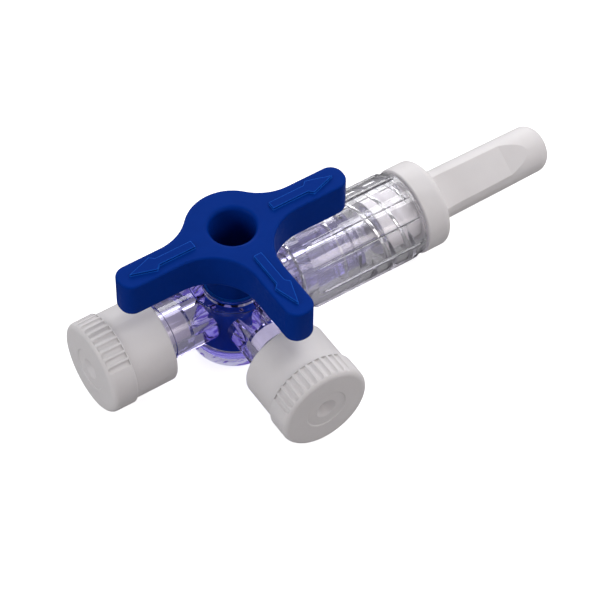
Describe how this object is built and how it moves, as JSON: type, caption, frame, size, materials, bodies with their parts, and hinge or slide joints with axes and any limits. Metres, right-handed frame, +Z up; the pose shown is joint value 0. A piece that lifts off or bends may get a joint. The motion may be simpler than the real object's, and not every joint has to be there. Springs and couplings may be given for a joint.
{
  "type": "three way stopcock",
  "caption": "Three way stopcock: clear barrel with capped female luer ports, male luer in a turning lock collar with stemmed cap, and a blue three-armed tap on a tapered plug.",
  "frame": {"origin": "centre of the barrel's flat foot, on the tap's turning axis; the port axes cross 6.55 mm above it", "axes": "+Z up the tap's axis, +X along the male luer, -X out of the side port, -Y out of the front port"},
  "size_m": [0.0633, 0.025, 0.0194],
  "materials": {
    "clear_body": "clear moulded polycarbonate, polished",
    "clear_collar": "clear moulded polycarbonate, polished",
    "tap_blue": "moulded polyethylene, satin",
    "cap_white": "moulded polyethylene, translucent matte"
  },
  "bodies": {
    "body": {"valve_body": "clear_body"},
    "tap": {"tap_handle": "tap_blue"},
    "collar": {"lock_collar": "clear_collar"},
    "side_cap": {"side_port_cap": "cap_white"},
    "front_cap": {"front_port_cap": "cap_white"},
    "male_cap": {"male_luer_cap": "cap_white"}
  },
  "joints": [
    {"name": "tap_turn", "type": "hinge", "parent": "body", "child": "tap", "pos_m": [0, 0, 0.00655], "axis": [0, 0, 1], "continuous": true},
    {"name": "collar_spin", "type": "hinge", "parent": "body", "child": "collar", "pos_m": [0.0155, 0, 0.00655], "axis": [1, 0, 0], "continuous": true},
    {"name": "side_cap_pull", "type": "slide", "parent": "body", "child": "side_cap", "axis": [-1, 0, 0], "range_m": [0, 0.012]},
    {"name": "front_cap_pull", "type": "slide", "parent": "body", "child": "front_cap", "axis": [0, -1, 0], "range_m": [0, 0.012]},
    {"name": "male_cap_pull", "type": "slide", "parent": "collar", "child": "male_cap", "axis": [1, 0, 0], "range_m": [0, 0.012]}
  ]
}
